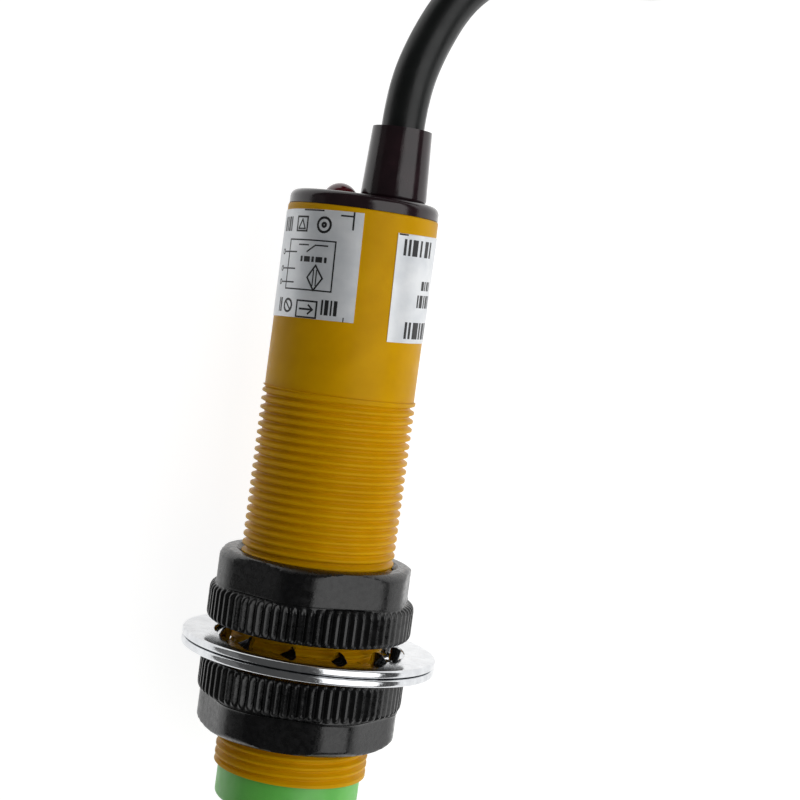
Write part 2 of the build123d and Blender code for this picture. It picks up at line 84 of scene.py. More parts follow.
camera_data = bpy.data.cameras.new("camera")
camera = bpy.data.objects.new("camera", camera_data)
scene.collection.objects.link(camera)
scene.camera = camera
camera_data.lens = camera_lens
camera_place = Vector((0, camera_y, axis_height + camera_height))
aim_place = Vector((aim_x, aim_y, axis_height))
back = (camera_place - aim_place).normalized()
picture_up = Vector((-math.sin(camera_lean), math.cos(camera_lean), 0))
picture_right = picture_up.cross(back).normalized()
picture_up = back.cross(picture_right)
camera.matrix_world = Matrix.Translation(camera_place * MM) @ Matrix(
    (picture_right, picture_up, back)
).transposed().to_4x4()
camera_data.clip_start = 0.01
camera_data.clip_end = 5.0


# ---- node materials ------------------------------------------------------------------------------
def srgb(red, green, blue):
    """Linear colour of an 8-bit display colour."""
    linear = []
    for value in (red, green, blue):
        share = value / 255
        linear.append(share / 12.92 if share <= 0.04045 else ((share + 0.055) / 1.055) ** 2.4)
    return (*linear, 1.0)


class Surface:
    """A node material that is built up one layer at a time."""

    def __init__(self, name, **shader_values):
        self.material = bpy.data.materials.new(name)
        self.material.use_nodes = True
        self.tree = self.material.node_tree
        self.shader = self.tree.nodes["Principled BSDF"]
        self.place = self.node("ShaderNodeTexCoord").outputs["Object"]
        for socket, value in shader_values.items():
            self.shader.inputs[socket.replace("_", " ")].default_value = value

    def node(self, kind, **values):
        made = self.tree.nodes.new(kind)
        for key, value in values.items():
            setattr(made, key, value)
        return made

    def link(self, source, target):
        self.tree.links.new(source, target)

    def stretched(self, scale):
        """Object coordinates multiplied by a scale for each axis."""
        mapping = self.node("ShaderNodeMapping")
        mapping.inputs["Scale"].default_value = scale
        self.link(self.place, mapping.inputs["Vector"])
        return mapping.outputs["Vector"]

    def noise(self, size_mm, detail=3.0, stretch=(1, 1, 1), distortion=0.0):
        """Noise whose features are about size_mm across."""
        noise = self.node("ShaderNodeTexNoise")
        noise.inputs["Scale"].default_value = 1.0 / (size_mm * MM)
        noise.inputs["Detail"].default_value = detail
        noise.inputs["Distortion"].default_value = distortion
        self.link(self.stretched(stretch), noise.inputs["Vector"])
        return noise.outputs["Fac"]

    def spread(self, value, low, high, start=0.3, end=0.7):
        """Maps a value in start..end to low..high."""
        limits = self.node("ShaderNodeMapRange")
        limits.inputs["From Min"].default_value = start
        limits.inputs["From Max"].default_value = end
        limits.inputs["To Min"].default_value = low
        limits.inputs["To Max"].default_value = high
        self.link(value, limits.inputs["Value"])
        return limits.outputs["Result"]

    def blend(self, value, first, second):
        """Mixes two colours, each a constant or a socket."""
        mix = self.node("ShaderNodeMix", data_type="RGBA")
        self.link(value, mix.inputs["Factor"])
        for socket, colour in ((mix.inputs[6], first), (mix.inputs[7], second)):
            if isinstance(colour, tuple):
                socket.default_value = colour
            else:
                self.link(colour, socket)
        return mix.outputs[2]

    def colour(self, socket):
        self.link(socket, self.shader.inputs["Base Color"])

    def roughness(self, socket):
        self.link(socket, self.shader.inputs["Roughness"])

    def bump(self, *layers):
        """Adds bumps: each layer is a height socket and its depth in millimetres."""
        normal = None
        for height, depth in layers:
            bump = self.node("ShaderNodeBump")
            bump.inputs["Distance"].default_value = depth * MM
            bump.inputs["Strength"].default_value = 1.0
            self.link(height, bump.inputs["Height"])
            if normal is not None:
                self.link(normal, bump.inputs["Normal"])
            normal = bump.outputs["Normal"]
        self.link(normal, self.shader.inputs["Normal"])


def moulded(name, main, other, roughness=(0.3, 0.45), mottle_mm=2.5, grain_mm=0.12, depth=0.006, **shader):
    """Moulded plastic: slow colour mottling, uneven gloss and a fine grain."""
    surface = Surface(name, **shader)
    surface.colour(surface.blend(surface.spread(surface.noise(mottle_mm, 4), 0, 1), main, other))
    surface.roughness(surface.spread(surface.noise(mottle_mm / 3, 5), *roughness))
    surface.bump((surface.noise(grain_mm, 2), depth), (surface.noise(mottle_mm, 2), depth * 4))
    return surface.material


def metal(name, main, other, roughness=(0.08, 0.25), streak=(1, 1, 1), scratch_mm=0.3):
    """Metal with uneven gloss and fine scratches."""
    surface = Surface(name, Metallic=1.0)
    surface.colour(surface.blend(surface.spread(surface.noise(1.5, 4), 0, 1), main, other))
    surface.roughness(surface.spread(surface.noise(scratch_mm, 4, streak), *roughness))
    surface.bump((surface.noise(scratch_mm, 3, streak), 0.004))
    return surface.material


barrel_plastic = moulded(
    "barrel_plastic",
    srgb(214, 160, 2),
    srgb(201, 148, 1),
    roughness=(0.3, 0.42),
    mottle_mm=4.0,
    Specular_IOR_Level=0.06,
    Subsurface_Weight=0.12,
    Subsurface_Radius=(0.0014, 0.0007, 0.0002),
    Subsurface_Scale=1.0,
)


def nylon_surface():
    """Black glass-filled nylon: nearly black, with an uneven, pitted gloss."""
    surface = Surface("black_nylon", Specular_IOR_Level=0.48)
    tone = surface.spread(surface.noise(1.2, 4), 0, 1)
    surface.colour(surface.blend(tone, srgb(5, 5, 6), srgb(12, 12, 13)))
    surface.roughness(surface.spread(surface.noise(0.6, 5), 0.18, 0.4))
    surface.bump((surface.noise(0.26, 3), 0.02), (surface.noise(1.4, 2), 0.02))
    return surface.material


black_nylon = nylon_surface()
smoked = moulded(
    "smoked_plastic",
    srgb(40, 24, 29),
    srgb(27, 16, 20),
    roughness=(0.1, 0.2),
    mottle_mm=2.0,
    Coat_Weight=0.12,
    Coat_Roughness=0.12,
    Specular_IOR_Level=0.42,
)
red_lens = moulded(
    "red_lens",
    srgb(92, 16, 26),
    srgb(70, 10, 18),
    roughness=(0.06, 0.12),
    Coat_Weight=0.6,
    Coat_Roughness=0.05,
)
green_plastic = moulded(
    "green_plastic",
    srgb(106, 196, 84),
    srgb(94, 184, 76),
    roughness=(0.35, 0.5),
    mottle_mm=3.0,
    Subsurface_Weight=0.1,
    Subsurface_Radius=(0.0003, 0.0012, 0.0003),
)
cable_jacket = moulded(
    "cable_jacket",
    srgb(13, 15, 15),
    srgb(20, 23, 22),
    roughness=(0.3, 0.42),
    mottle_mm=6.0,
    grain_mm=0.25,
    depth=0.008,
    Specular_IOR_Level=0.36,
)
lens_dark = moulded(
    "infrared_lens",
    srgb(50, 6, 14),
    srgb(34, 2, 8),
    roughness=(0.03, 0.07),
    Coat_Weight=1.0,
    Coat_Roughness=0.03,
)
chrome = metal("chromed_steel", srgb(228, 230, 232), srgb(206, 208, 211), roughness=(0.07, 0.2))
tin = metal("tinned_metal", srgb(205, 204, 198), srgb(180, 178, 170), roughness=(0.25, 0.45))
aluminium = metal("can_aluminium", srgb(200, 200, 204), srgb(180, 182, 186), streak=(1, 1, 8))


def foil_surface():
    """Satin silver film: fine fibres round the barrel, slow tone changes and specks."""
    surface = Surface("label_foil", Metallic=0.35)
    tone = surface.spread(surface.noise(3.0, 4), 0, 1)
    surface.colour(surface.blend(tone, srgb(238, 240, 242), srgb(216, 220, 224)))
    surface.roughness(surface.spread(surface.noise(0.5, 4, (1, 4, 1)), 0.34, 0.52))
    surface.bump((surface.noise(0.18, 3, (1, 3, 1)), 0.004), (surface.noise(5.0, 2), 0.02))
    return surface.material


label_foil = foil_surface()
print_ink = moulded("print_ink", srgb(22, 23, 25), srgb(34, 35, 37), roughness=(0.4, 0.55), mottle_mm=0.6)

# Main colour, second colour and gloss of the small parts' plastics.
plain_plastics = {
    "seal_rubber": ((26, 26, 26), (36, 36, 36), (0.6, 0.8)),
    "holder_plastic": ((28, 28, 30), (38, 38, 40), (0.5, 0.7)),
    "diode_resin": ((74, 62, 92), (58, 48, 76), (0.05, 0.12)),
    "board_laminate": ((22, 96, 52), (16, 80, 44), (0.25, 0.45)),
    "lamp_resin": ((176, 34, 34), (150, 22, 24), (0.06, 0.14)),
    "trimmer_blue": ((40, 92, 170), (34, 80, 152), (0.35, 0.5)),
    "trimmer_white": ((226, 222, 208), (212, 206, 190), (0.4, 0.55)),
    "chip_black": ((34, 34, 36), (44, 44, 46), (0.45, 0.65)),
    "ceramic_tan": ((176, 150, 112), (158, 132, 96), (0.4, 0.6)),
    "tie_plastic": ((30, 30, 30), (44, 44, 44), (0.4, 0.55)),
    "brown_insulation": ((112, 62, 34), (96, 52, 28), (0.35, 0.5)),
    "blue_insulation": ((36, 82, 186), (28, 68, 164), (0.35, 0.5)),
    "black_insulation": ((28, 28, 28), (38, 38, 38), (0.35, 0.5)),
}
slot_material = {
    name: moulded(name, srgb(*main), srgb(*other), roughness=gloss, mottle_mm=1.2)
    for name, (main, other, gloss) in plain_plastics.items()
}
slot_material.update(
    yellow_plastic=barrel_plastic,
    smoked_plastic=smoked,
    red_lens=red_lens,
    black_nylon=black_nylon,
    chromed_steel=chrome,
    green_plastic=green_plastic,
    infrared_lens=lens_dark,
    tinned_metal=tin,
    can_aluminium=aluminium,
    cable_jacket=cable_jacket,
)


# ---- mesh helpers --------------------------------------------------------------------------------
def add_piece(name, vertices, faces, material, body, stands_for=(), sharp=35.0):
    """A mesh piece from millimetre vertices, shaded smooth except over sharp edges."""
    mesh = bpy.data.meshes.new(name)
    mesh.from_pydata([Vector(v) * MM for v in vertices], [], faces)
    cleaned = bmesh.new()
    cleaned.from_mesh(mesh)
    bmesh.ops.remove_doubles(cleaned, verts=cleaned.verts, dist=2e-6)
    bmesh.ops.dissolve_degenerate(cleaned, edges=cleaned.edges, dist=1e-6)
    bmesh.ops.recalc_face_normals(cleaned, faces=cleaned.faces)
    cleaned.to_mesh(mesh)
    cleaned.free()
    mesh.polygons.foreach_set("use_smooth", [True] * len(mesh.polygons))
    mesh.set_sharp_from_angle(angle=math.radians(sharp))
    mesh.materials.append(material)
    piece = bpy.data.objects.new(name, mesh)
    scene.collection.objects.link(piece)
    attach(piece, body)
    if stands_for:
        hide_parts(*stands_for)
    return piece


def corner_arc(before, corner, after, radius, steps=5):
    """Points of an arc that rounds a corner of a plane outline."""
    a = (Vector(before) - Vector(corner)).normalized()
    b = (Vector(after) - Vector(corner)).normalized()
    half = a.angle(b) / 2
    reach = radius / math.tan(half)
    centre = Vector(corner) + (a + b).normalized() * radius / math.sin(half)
    start = Vector(corner) + a * reach - centre
    end = Vector(corner) + b * reach - centre
    turn = start.angle(end)
    points = []
    for step in range(steps + 1):
        share = step / steps
        points.append(
            centre
            + start * math.sin((1 - share) * turn) / math.sin(turn)
            + end * math.sin(share * turn) / math.sin(turn)
        )
    return points


def rounded(outline, radii, steps=5, closed=False):
    """An outline with the corners numbered in radii rounded to the radius given for each."""
    points = []
    count = len(outline)
    for index, corner in enumerate(outline):
        if index in radii and (closed or 0 < index < count - 1):
            before, after = outline[index - 1], outline[(index + 1) % count]
            points += corner_arc(before, corner, after, radii[index], steps)
        else:
            points.append(Vector(corner))
    return points


def on_axis(radius, turn, y):
    """Place at a distance from the sensor's axis, turned from the top towards +X."""
    return (radius * math.sin(turn), y, axis_height + radius * math.cos(turn))


def skinned(rings, close_rings=True, close_ends=False):
    """Vertices and faces of a skin over rings of vertices, which all have the same length."""
    vertices = [vertex for ring in rings for vertex in ring]
    count = len(rings[0])
    faces = []
    for number in range(len(rings) - 1 + int(close_ends)):
        this, following = number * count, (number + 1) % len(rings) * count
        for index in range(count if close_rings else count - 1):
            after = (index + 1) % count
            faces.append((this + index, this + after, following + after, following + index))
    return vertices, faces


def smooth_cad(names, materials):
    """Gives CAD nodes their procedural material, and smooth shading except over sharp edges."""
    for name in names:
        mesh = nodes[name].data
        mesh.materials.clear()
        mesh.materials.append(materials[name])
        mesh.polygons.foreach_set("use_smooth", [True] * len(mesh.polygons))
        mesh.polygons.foreach_set("material_index", [0] * len(mesh.polygons))
        mesh.set_sharp_from_angle(angle=math.radians(35))


# ---- cable: one smooth spline out of the boot, through the coil, to its bare end -----------------
cable_diameter = 5.0
cable_route = [
    (3.2, 39.0, 15.07),
    (3.2, 43.4, 15.07),
    (4.4, 49.3, 14.1),
    (7.6, 56.9, 11.6),
    (13.0, 62.1, 8.4),
    (18.9, 64.2, 5.6),
    (25.1, 63.7, 3.1),
    (33.1, 63.8, 2.5),
    (40.0, 67.2, 2.5),
    (46.5, 75.2, 2.9),
]
coil_low, coil_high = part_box("cable_coil")
coil_centre = (coil_low + coil_high) / 2 / MM
outer_turn = (coil_high.x - coil_low.x) / 2 / MM - cable_diameter / 2 - 0.1
inner_turn = outer_turn - cable_diameter
layer_height = [coil_low.z / MM + cable_diameter * (layer + 0.5) for layer in range(3)]
points_per_turn = 16
# Each leg: the angle it ends at, and the turn's radius and height there.
coil_legs = [
    (-17.0, outer_turn, layer_height[0]),
    (255.0, outer_turn, layer_height[0]),
    (295.0, outer_turn, layer_height[1]),
    (615.0, outer_turn, layer_height[1]),
    (655.0, outer_turn, layer_height[2]),
    (925.0, outer_turn, layer_height[2]),
    (965.0, inner_turn, layer_height[2]),
    (1245.0, inner_turn, layer_height[2]),
    (1285.0, inner_turn, layer_height[1]),
    (1615.0, inner_turn, layer_height[1]),
    (1655.0, inner_turn, layer_height[0]),
    (1940.0, inner_turn, layer_height[0]),
]
tail_route = [(21.0, 157.0, 2.7), (19.1, 178.0, 2.5), (17.3, 199.0, 2.5)]


def coil_point(radius, angle, height):
    """A point at a polar place about the coil's centre."""
    turn = math.radians(angle)
    return (
        coil_centre.x + radius * math.cos(turn),
        coil_centre.y + radius * math.sin(turn),
        height,
    )


def coil_turns():
    """Control points of the coil's turns, a little outside the line that they give."""
    outside = 1 / math.cos(math.pi / points_per_turn)
    step = 360 / points_per_turn
    points = []
    angle = coil_legs[0][0]
    for (start, radius_1, height_1), (end, radius_2, height_2) in zip(coil_legs, coil_legs[1:]):
        while angle < end:
            share = (angle - start) / (end - start)
            radius = radius_1 + (radius_2 - radius_1) * share
            height = height_1 + (height_2 - height_1) * share
            points.append(coil_point(radius * outside, angle, height))
            angle += step
    return points


def spline_curve(name, points, diameter, material, body, sides=6):
    """A round cord along one smooth spline with these control points."""
    curve = bpy.data.curves.new(name, "CURVE")
    curve.dimensions = "3D"
    curve.resolution_u = 8
    curve.bevel_depth = diameter / 2 * MM
    curve.bevel_resolution = sides
    curve.use_fill_caps = True
    spline = curve.splines.new("NURBS")
    spline.points.add(len(points) - 1)
    for point, place in zip(spline.points, points):
        point.co = (*(Vector(place) * MM), 1.0)
    spline.order_u = 3
    spline.use_endpoint_u = True
    curve.materials.append(material)
    piece = bpy.data.objects.new(name, curve)
    scene.collection.objects.link(piece)
    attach(piece, body)
    return piece


cable_points = cable_route + coil_turns() + [coil_point(*place) for place in tail_route]
free_cable = spline_curve("free_cable", cable_points, cable_diameter, cable_jacket, "sensor")
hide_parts("cable", "cable_coil", "cable_tail")


# ---- barrel: M18 x 1 helical thread and a smooth rear stretch ------------------------------------
root_radius = 8.45
bore_radius = 7.7
barrel_edge_radius = 0.3
thread_runout = 0.5
thread_columns = 120
# One pitch of the thread: share of the pitch and depth below the crest, as a share of full depth.
thread_profile = [
    (0.0, 0.06),
    (0.05, 0.0),
    (0.25, 0.0),
    (0.31, 0.08),
    (0.54, 0.94),
    (0.6, 1.0),
    (0.74, 1.0),
    (0.8, 0.92),
]


def thread_depth(y):
    """Depth of the thread at a station: it runs out over a short stretch at each end."""
    from_end = min(y - barrel_front, thread_rear - y)
    return (thread_radius - root_radius) * min(1.0, max(0.0, from_end / thread_runout))


def make_barrel():
    """The barrel as one closed skin: its helical thread, smooth stretch, ends and bore."""
    turns = int((thread_rear - barrel_front) / pitch) + 2
    rings = []
    for column in range(thread_columns + 1):
        turn = 2 * math.pi * column / thread_columns
        lead = column / thread_columns * pitch
        ring = []
        for number in range(-1, turns):
            for share, depth in thread_profile:
                y = barrel_front + (number + share) * pitch + lead
                y = min(max(y, barrel_front), thread_rear)
                radius = thread_radius - depth * thread_depth(y)
                ring.append(on_axis(radius, turn, y))
        rings.append(ring)
    vertices, faces = skinned(rings, close_rings=False)
    shell = rounded(
        [
            (thread_rear, thread_radius),
            (thread_rear, smooth_radius),
            (barrel_rear, smooth_radius),
            (barrel_rear, bore_radius),
            (barrel_front, bore_radius),
            (barrel_front, thread_radius),
        ],
        {2: barrel_edge_radius},
    )
    turns = [2 * math.pi * column / thread_columns for column in range(thread_columns)]
    shell_rings = [[on_axis(radius, turn, y) for y, radius in shell] for turn in turns]
    shell_rings.append(shell_rings[0])
    more_vertices, more_faces = skinned(shell_rings, close_rings=False)
    offset = len(vertices)
    vertices += more_vertices
    faces += [tuple(index + offset for index in face) for face in more_faces]
    return add_piece(
        "threaded_barrel", vertices, faces, barrel_plastic, "sensor", ["barrel"], sharp=50.0
    )


make_barrel()

# ---- nuts: a ribbed flange with a rounded shoulder, then a hexagon with eased corners ------------
nut_height = 8.4
nut_bore_radius = 9.08
nut_flange_radius = 12.1
nut_flat_radius = 11.0
nut_corner_radius = 11.7
nut_rib_count = 72
nut_rib_depth = 0.42
nut_groove_half_width = 0.42
columns_per_rib = 8
hexagon_ease = 0.4
hexagon_from = 3.6
rear_nut_flat_angle = math.radians(23.0)
front_nut_flat_angle = math.radians(-5.3)
# Each ring of the bore's mouth: distance in from the face, and radius beyond the bore's.
bore_mouth = [(0.5, 0.0), (0.12, 0.38), (0.0, 0.5)]
# Each ring of the flange: height above the bearing face, radius, and share of the full rib depth.
flange_rings = [
    (0.0, 11.55, 0.0),
    (0.06, 11.72, 0.15),
    (0.22, 11.93, 0.6),
    (0.45, 12.06, 1.0),
    (0.7, 12.1, 1.0),
    (3.4, 12.1, 1.0),
    (3.7, 12.06, 1.0),
    (3.95, 11.94, 0.95),
    (4.13, 11.74, 0.8),
    (4.25, 11.5, 0.5),
    (4.32, 11.25, 0.2),
    (4.35, 11.0, 0.0),
]
# Each ring of the hexagon: height, inset from the outline, and the cone of the end chamfer.
hexagon_rings = [
    (4.41, -0.1, 20.0),
    (4.51, -0.02, 20.0),
    (4.7, 0.0, 20.0),
    (7.4, 0.0, 20.0),
    (7.62, 0.0, 11.68),
    (7.85, 0.0, 11.5),
    (8.08, 0.01, 11.26),
    (8.26, 0.06, 10.98),
    (8.36, 0.16, 10.76),
    (8.4, 0.32, 10.6),
]


def hexagon_radius(turn):
    """Outline of a hexagon with a flat at turn 0 whose corners are eased into a circle."""
    from_flat = (turn + math.pi / 6) % (math.pi / 3) - math.pi / 6
    flat = nut_flat_radius / math.cos(from_flat)
    share = max(hexagon_ease - abs(flat - nut_corner_radius), 0.0) / hexagon_ease
    return min(flat, nut_corner_radius) - share * share * hexagon_ease / 4


def groove_depth(turn):
    """Depth below the flange's radius of the rounded grooves between its ribs."""
    rib_pitch = 2 * math.pi * nut_flange_radius / nut_rib_count
    phase = (turn * nut_rib_count / (2 * math.pi)) % 1.0
    from_groove = min(phase, 1 - phase) * rib_pitch / nut_groove_half_width
    return nut_rib_depth * 0.5 * (1 + math.cos(math.pi * min(1.0, from_groove)))


def make_nut(name, face, toward, flat_angle):
    """A nut that stands on the plane y = face and points along Y by the sign of toward."""
    turns = [
        2 * math.pi * column / (nut_rib_count * columns_per_rib)
        for column in range(nut_rib_count * columns_per_rib)
    ]
    hexagon = [hexagon_radius(turn) for turn in turns]
    rings = [(depth, [nut_bore_radius + flare] * len(turns)) for depth, flare in bore_mouth]
    for height, radius, share in flange_rings:
        ring = [radius - share * groove_depth(turn) for turn in turns]
        if height > hexagon_from:
            ring = [max(*pair) for pair in zip(ring, hexagon)]
        rings.append((height, ring))
    for height, inset, cone in hexagon_rings:
        rings.append((height, [min(radius - inset, cone) for radius in hexagon]))
    for depth, flare in reversed(bore_mouth):
        rings.append((nut_height - depth, [nut_bore_radius + flare] * len(turns)))
    placed = [
        [on_axis(radius, turn + flat_angle, face + toward * height) for turn, radius in zip(turns, ring)]
        for height, ring in rings
    ]
    vertices, faces = skinned(placed, close_ends=True)
    return add_piece(
        f"{name}_ribbed", vertices, faces, black_nylon, name, [name], sharp=40.0
    )


make_nut("rear_nut", rear_nut_face, 1, rear_nut_flat_angle)
make_nut("front_nut", front_nut_face, -1, front_nut_flat_angle)

# ---- washers: rounded rims and twisted inner teeth, askew as in the frame ------------------------
washer_hole_radius = 11.3
washer_half_thickness = 0.45
washer_tooth_count = 12
washer_segments = 180
# Each corner of a tooth's section: share of its half width and of its half thickness.
tooth_corners = [(1, 0.4), (0.85, 1), (-0.85, 1), (-1, 0.4), (-1, -0.4), (-0.85, -1), (0.85, -1), (1, -0.4)]
# Each section of a tooth: distance from the axis, width, thickness, twist in degrees, share of the lean.
tooth_sections = [
    (11.75, 2.7, 0.7, 0.0, 0.0),
    (11.35, 2.4, 0.7, 0.0, 0.2),
    (11.1, 2.1, 0.64, 14.0, 0.6),
    (10.8, 2.0, 0.6, 42.0, 0.9),
    (10.4, 2.0, 0.58, 62.0, 1.0),
    (9.95, 2.0, 0.56, 66.0, 1.0),
    (9.72, 1.8, 0.46, 66.0, 0.95),
]


def washer_place(node):
    """Centre, sideways, normal (towards the cable) and upward directions of a CAD washer."""
    mesh = nodes[node].data
    low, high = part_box(node)
    centre = (low + high) / 2 / MM
    points = [v.co / MM - centre for v in mesh.vertices]
    right = max(points, key=lambda p: p.x)
    top = max(points, key=lambda p: p.z)
    normal = top.cross(right)
    normal = (normal if normal.y > 0 else -normal).normalized()
    sideways = (Vector((1, 0, 0)) - normal * normal.x).normalized()
    return centre, sideways, normal, sideways.cross(normal)


def make_washer(node, first_tooth, lean):
    """A washer whose teeth bend off its plane by the lean, towards the cable when it is positive."""
    centre, sideways, normal, upward = washer_place(node)
    half = washer_half_thickness
    outer = (span(node, 0)[1] - span(node, 0)[0]) / 2
    outline = rounded(
        [(-half, washer_hole_radius), (-half, outer), (half, outer), (half, washer_hole_radius)],
        {0: 0.12, 1: 0.3, 2: 0.3, 3: 0.12},
        closed=True,
    )
    rings = []
    for step in range(washer_segments):
        turn = 2 * math.pi * step / washer_segments
        outward = sideways * math.sin(turn) + upward * math.cos(turn)
        rings.append([centre + normal * h + outward * r for h, r in outline])
    vertices, faces = skinned(rings, close_ends=True)
    for number in range(washer_tooth_count):
        turn = first_tooth + 2 * math.pi * number / washer_tooth_count
        outward = sideways * math.sin(turn) + upward * math.cos(turn)
        across = sideways * math.cos(turn) - upward * math.sin(turn)
        rings = []
        for radius, width, thickness, twist, share in tooth_sections:
            angle = math.radians(twist)
            wide = across * math.cos(angle) + normal * math.sin(angle)
            thick = normal * math.cos(angle) - across * math.sin(angle)
            middle = centre + outward * radius + normal * lean * share
            rings.append(
                [middle + wide * w * width / 2 + thick * t * thickness / 2 for w, t in tooth_corners]
            )
        tooth_vertices, tooth_faces = skinned(rings)
        sides = len(tooth_corners)
        last = sides * (len(rings) - 1)
        tooth_faces.append(tuple(range(sides)))
        tooth_faces.append(tuple(last + index for index in reversed(range(sides))))
        offset = len(vertices)
        vertices += tooth_vertices
        faces += [tuple(index + offset for index in face) for face in tooth_faces]
    body = node.replace("_toothed", "")
    return add_piece(f"{body}_disc", vertices, faces, chrome, body, [node], sharp=40.0)


make_washer("rear_toothed_washer", math.radians(-12.0), 0.42)
make_washer("front_toothed_washer", math.radians(3.0), 0.35)

# ---- label: a foil put on slightly skew, with plain printed symbols ------------------------------
label_skew = math.radians(1.75)
label_corner_angle = math.radians(3.3)
label_corner_y = 17.05
label_length = 51.6
label_height = 12.3
foil_edge = 0.05
foil_columns = 130
print_thickness = 0.012
line_width = 0.16


def on_label(u, v, lift=0.0):
    """Place on the barrel of a point u left of the label's right edge and v up from its front edge."""
    arc = -u * math.cos(label_skew) - v * math.sin(label_skew)
    turn = label_corner_angle + arc / label_radius
    radius = label_radius + lift
    y = label_corner_y - u * math.sin(label_skew) + v * math.cos(label_skew)
    return (radius * math.sin(turn), y, axis_height + radius * math.cos(turn))


def make_foil():
    """The label's foil as a thin closed skin, with its two long edges eased."""
    outline = [
        (0.0, -foil_edge),
        (foil_edge, 0.0),
        (label_height - foil_edge, 0.0),
        (label_height, -foil_edge),
        (label_height, -label_thickness),
        (0.0, -label_thickness),
    ]
    rings = []
    for column in range(foil_columns + 1):
        u = label_length * column / foil_columns
        rings.append([on_label(u, v, lift) for v, lift in outline])
    vertices, faces = skinned(rings)
    faces.append(tuple(range(len(outline))))
    last = foil_columns * len(outline)
    faces.append(tuple(last + index for index in reversed(range(len(outline)))))
    return add_piece("label_sheet", vertices, faces, label_foil, "sensor", ["wrap_label"])


def stroke(start, end, width):
    """A printed line between two label points as a thin closed strip on the foil."""
    along = Vector(end) - Vector(start)
    reach = along.normalized()
    side = Vector((-reach.y, reach.x)) * width / 2
    steps = max(1, math.ceil(along.length / 0.35))
    rings = []
    for step in range(steps + 1):
        middle = Vector(start) + along * step / steps
        left, right = middle + side, middle - side
        rings.append(
            [
                on_label(*left, -0.01),
                on_label(*left, print_thickness),
                on_label(*right, print_thickness),
                on_label(*right, -0.01),
            ]
        )
    vertices, faces = skinned(rings)
    faces.append((0, 1, 2, 3))
    faces.append(tuple(4 * steps + index for index in (3, 2, 1, 0)))
    return vertices, faces


def path(*points, width=line_width, closed=False):
    """Strokes along a line of label points, each a little longer so that the corners fill."""
    strokes = []
    ends = list(zip(points, points[1:]))
    if closed:
        ends.append((points[-1], points[0]))
    for start, end in ends:
        reach = (Vector(end) - Vector(start)).normalized() * width * 0.45
        strokes.append(stroke(Vector(start) - reach, Vector(end) + reach, width))
    return strokes


def block(u, v, width, height):
    """A filled rectangle that starts at (u, v)."""
    return [stroke((u, v + height / 2), (u + width, v + height / 2), height)]


def ring(u, v, radius, width=line_width, points=18):
    """A printed circle about (u, v)."""
    turns = [2 * math.pi * number / points for number in range(points)]
    corners = [(u + radius * math.cos(turn), v + radius * math.sin(turn)) for turn in turns]
    return path(*corners, width=width, closed=True)


def bars(u, v, height, pattern):
    """A row of upright bars: each entry is a bar's width and the gap after it."""
    strokes = []
    for width, gap in pattern:
        strokes += block(u, v, width, height)
        u += width + gap
    return strokes


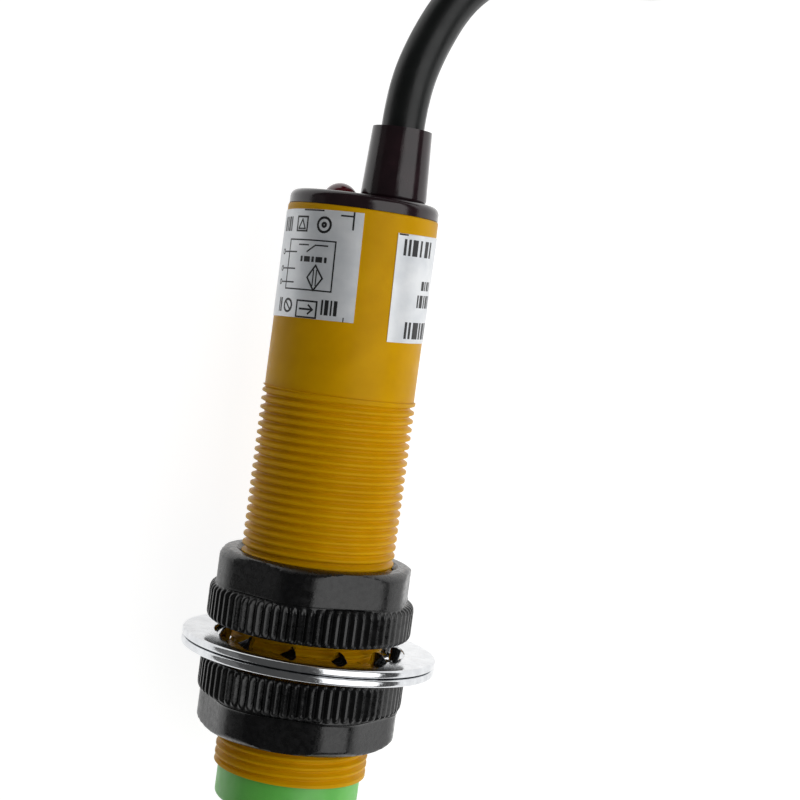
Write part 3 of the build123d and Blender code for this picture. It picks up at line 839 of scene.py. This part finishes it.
def make_print():
    """All the symbols of the label, which are plain shapes and no letters."""
    strokes = []
    # Connection diagram: frame, three terminals, switch, diamond.
    strokes += path((2.9, 3.2), (9.7, 3.2), (9.7, 8.8), (2.9, 8.8), closed=True)
    for v in (3.95, 5.5, 7.4):
        strokes += path((8.25, v), (10.9, v))
    for v in (3.95, 5.5, 7.4):
        strokes += ring(11.25, v, 0.27, width=0.12)
    strokes += path((6.42, 8.25), (7.85, 8.25))
    strokes += path((3.85, 8.25), (5.4, 8.25), (6.5, 7.5))
    strokes += path((5.1, 3.2), (4.1, 4.6), (5.1, 6.0), (6.1, 4.6), width=0.2, closed=True)
    strokes += path((4.9, 3.75), (4.9, 5.45), width=0.13)
    strokes += path((5.3, 3.75), (5.3, 5.45), width=0.13)
    strokes += bars(3.8, 6.35, 0.62, [(0.3, 0.25), (0.85, 0.25), (0.3, 0.25), (0.85, 0.25), (0.3, 0.0)])
    # Upper row: a ring with a dot, a triangle in a square, then bars; corner mark at the right.
    strokes += ring(4.55, 10.6, 0.82, width=0.26)
    strokes += ring(4.55, 10.6, 0.2, width=0.26, points=10)
    strokes += path((6.9, 9.8), (8.6, 9.8), (8.6, 11.4), (6.9, 11.4), width=0.2, closed=True)
    strokes += path((7.2, 10.05), (8.3, 10.05), (7.75, 11.1), width=0.16, closed=True)
    strokes += bars(9.8, 9.75, 1.65, [(0.22, 0.2), (0.4, 0.25), (0.2, 0.3), (0.45, 0.2)])
    strokes += block(4.7, 12.1, 2.9, 0.17)
    strokes += path((2.55, 11.78), (1.15, 11.78), width=0.18)
    strokes += path((1.12, 12.2), (1.12, 10.35), width=0.2)
    strokes += path((1.2, 0.05), (1.2, 0.45), width=0.12)
    # Lower row: bars, a framed arrow, a ring, a dash.
    strokes += bars(2.0, 0.55, 1.7, [(0.4, 0.2), (0.2, 0.22), (0.45, 0.2), (0.22, 0.0)])
    strokes += path((4.45, 0.12), (7.2, 0.12), (7.2, 1.95), (4.45, 1.95), width=0.2, closed=True)
    strokes += path((5.0, 1.03), (6.7, 1.03), width=0.22)
    strokes += path((5.5, 0.55), (4.95, 1.03), (5.5, 1.5), width=0.2)
    strokes += ring(8.8, 1.3, 0.7, width=0.24)
    strokes += path((8.3, 0.8), (9.3, 1.8), width=0.18)
    strokes += bars(10.1, 0.55, 1.6, [(0.3, 0.2), (0.18, 0.3)])
    # Far end of the foil: rows of bars that stand for its lines of text.
    strokes += block(50.2, 12.08, 1.25, 0.18)
    top_row = [(0.4, 0.35), (0.75, 0.6), (0.34, 0.45), (0.85, 0.3), (0.36, 0.3), (0.36, 0.0)]
    strokes += bars(45.6, 9.85, 1.85, top_row)
    strokes += bars(44.6, 6.1, 1.05, [(0.25, 0.2), (0.5, 0.3), (0.25, 0.2), (0.6, 0.0)])
    strokes += bars(44.2, 4.1, 1.45, [(0.3, 0.25), (0.6, 0.3), (0.3, 0.3), (0.7, 0.25), (0.3, 0.0)])
    bottom_row = [(0.4, 0.3), (0.8, 0.35), (0.4, 0.3), (1.2, 0.4), (0.4, 0.3), (0.4, 0.0)]
    strokes += bars(44.0, 0.5, 1.9, bottom_row)
    middle_row = [(0.5, 0.3), (1.1, 0.3), (0.7, 0.4), (1.6, 0.4), (0.6, 0.3), (2.2, 0.0)]
    for v in (9.9, 7.3, 4.7, 2.1):
        strokes += bars(26.0, v, 0.9, middle_row)
    vertices, faces = [], []
    for stroke_vertices, stroke_faces in strokes:
        offset = len(vertices)
        vertices += stroke_vertices
        faces += [tuple(index + offset for index in face) for face in stroke_faces]
    return add_piece("label_print", vertices, faces, print_ink, "sensor")


make_foil()
make_print()

# ---- CAD nodes that show as they are -------------------------------------------------------------
slot_of = {entry["node"]: entry["material_slot"] for entry in frame["record"]["subparts"]}
made_already = {
    "barrel",
    "cable",
    "cable_coil",
    "cable_tail",
    "rear_nut",
    "front_nut",
    "rear_toothed_washer",
    "front_toothed_washer",
    "wrap_label",
}
shown = [name for name in nodes if name not in made_already]
smooth_cad(shown, {name: slot_material[slot_of[name]] for name in shown})


# ---- floor and light -----------------------------------------------------------------------------
def make_floor():
    """A wide white floor that glows a little, so that it shows without shadows of its own."""
    mesh = bpy.data.meshes.new("floor")
    reach_m = 3.0
    corners = [(-reach_m, -reach_m, 0), (reach_m, -reach_m, 0), (reach_m, reach_m, 0), (-reach_m, reach_m, 0)]
    mesh.from_pydata(corners, [], [(0, 1, 2, 3)])
    floor_surface = Surface(
        "floor_white", Roughness=0.9, Emission_Color=(1, 1, 1, 1), Emission_Strength=0.92
    )
    tone = floor_surface.noise(300, 2)
    floor_surface.colour(floor_surface.blend(tone, (0.31, 0.31, 0.31, 1), (0.28, 0.28, 0.28, 1)))
    mesh.materials.append(floor_surface.material)
    floor = bpy.data.objects.new("floor", mesh)
    scene.collection.objects.link(floor)


def add_light(name, place, target, size, power):
    """A rectangular lamp at a place, aimed at a target, in metres and watts."""
    light = bpy.data.lights.new(name, "AREA")
    light.shape = "RECTANGLE"
    light.size, light.size_y = size
    light.energy = power
    lamp = bpy.data.objects.new(name, light)
    lamp.location = place
    lamp.rotation_euler = (Vector(target) - Vector(place)).to_track_quat("-Z", "Y").to_euler()
    scene.collection.objects.link(lamp)


make_floor()
centre = (0.0, 0.01, axis_height * MM)
add_light("key_softbox", (0.295, 0.02, 0.355), centre, (0.90, 0.46), 2.3)
add_light("fill_softbox", (-0.42, -0.10, 0.14), centre, (0.6, 0.2), 0.04)
world = bpy.data.worlds.new("studio")
scene.world = world
world.use_nodes = True
world.node_tree.nodes["Background"].inputs["Color"].default_value = (1, 1, 1, 1)
world.node_tree.nodes["Background"].inputs["Strength"].default_value = 0.07
scene.view_settings.view_transform = "Standard"
